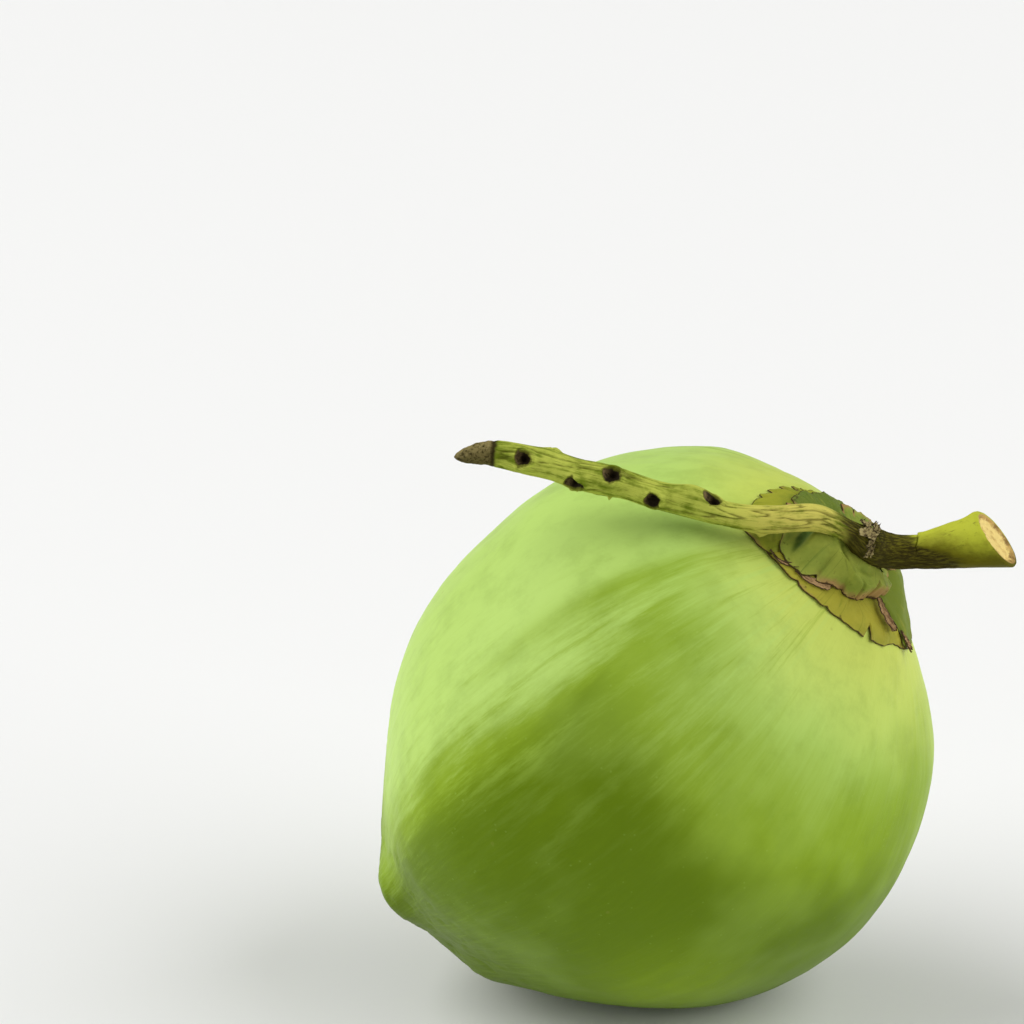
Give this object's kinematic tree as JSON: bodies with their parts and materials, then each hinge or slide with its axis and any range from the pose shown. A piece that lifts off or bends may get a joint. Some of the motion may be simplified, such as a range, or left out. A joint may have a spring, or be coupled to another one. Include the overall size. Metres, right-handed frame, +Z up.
{
  "type": "green coconut",
  "caption": "Whole green coconut with its calyx and cut stalk, lying tilted on a small flat spot.",
  "frame": {"origin": "on the ground, under the middle of the bounding box", "axes": "+Z up; the front faces -Y; the stalk end of the fruit leans up towards +X and a little to the front, and the nub points down towards -X"},
  "size_m": [0.1926, 0.1724, 0.1933],
  "materials": {
    "husk_skin": "smooth waxy green fruit skin",
    "calyx_petal": "leathery olive green with a dry brown margin",
    "calyx_sepal": "leathery green with a dry brown scalloped margin",
    "stalk_bark": "fibrous green to dark olive stalk, pale where cut",
    "dry_scale": "dry papery brown bract"
  },
  "bodies": {
    "root": {"husk": "husk_skin", "petal_1": "calyx_petal", "petal_2": "calyx_petal", "petal_3": "calyx_petal", "sepal_1": "calyx_sepal", "sepal_2": "calyx_sepal", "sepal_3": "calyx_sepal", "stalk": "stalk_bark", "scale_1": "dry_scale", "scale_2": "dry_scale"}
  },
  "joints": []
}
